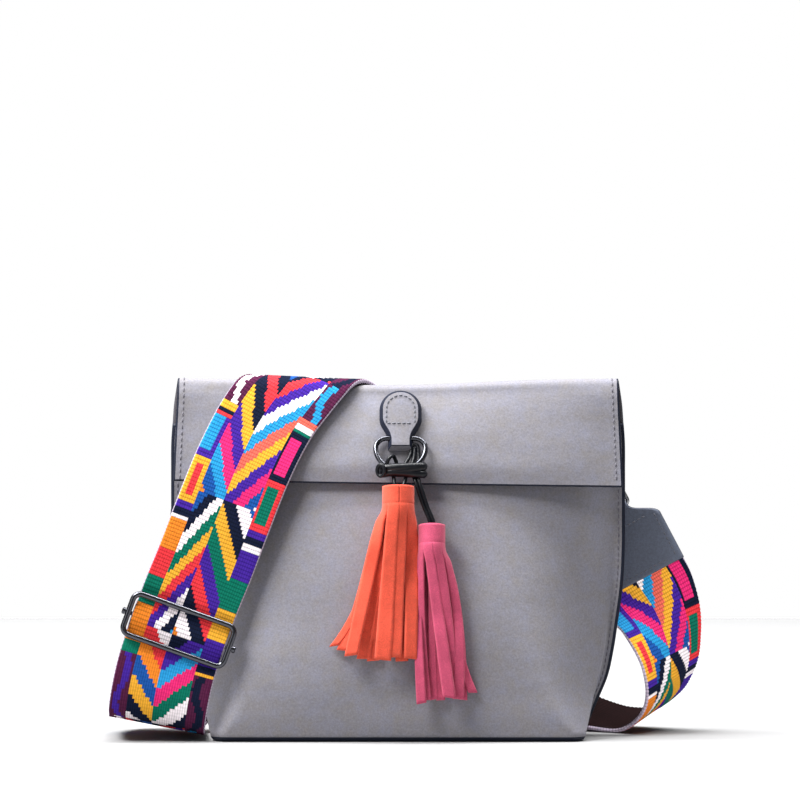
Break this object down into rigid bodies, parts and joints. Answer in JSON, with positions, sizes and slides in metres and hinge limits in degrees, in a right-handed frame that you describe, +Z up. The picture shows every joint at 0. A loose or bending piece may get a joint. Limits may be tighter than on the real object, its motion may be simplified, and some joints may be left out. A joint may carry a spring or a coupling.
{
  "type": "leather shoulder bag",
  "caption": "Soft grey leather shoulder bag with a fold-over flap, suede tassels on a D-ring and a wide patterned woven strap with a slider.",
  "frame": {"origin": "middle of the underside of the base", "axes": "+X to the right of the bag seen from its front, -Y out of the front, +Z up"},
  "size_m": [0.3135, 0.1378, 0.1899],
  "materials": {
    "grey_leather": "matte nubuck grain",
    "slate_leather": "satin grain",
    "gunmetal": "dark polished plate",
    "nickel_wire": "polished",
    "black_cord": "glossy",
    "orange_suede": "napped suede",
    "pink_suede": "napped suede",
    "woven_webbing": "ribbed jacquard weave"
  },
  "bodies": {
    "root": {"front_panel": "grey_leather", "back_panel": "grey_leather", "base_panel": "grey_leather", "flap_tab": "grey_leather", "d_ring": "gunmetal", "tassel_cord": "black_cord", "tassel_orange": "orange_suede", "tassel_pink": "pink_suede", "strap_webbing": "woven_webbing", "slider_frame": "gunmetal", "slider_bar": "gunmetal", "strap_tab_right": "slate_leather", "side_ring_right": "nickel_wire", "side_loop_right": "slate_leather", "strap_tab_left": "slate_leather", "side_ring_left": "nickel_wire", "side_loop_left": "slate_leather"}
  },
  "joints": []
}
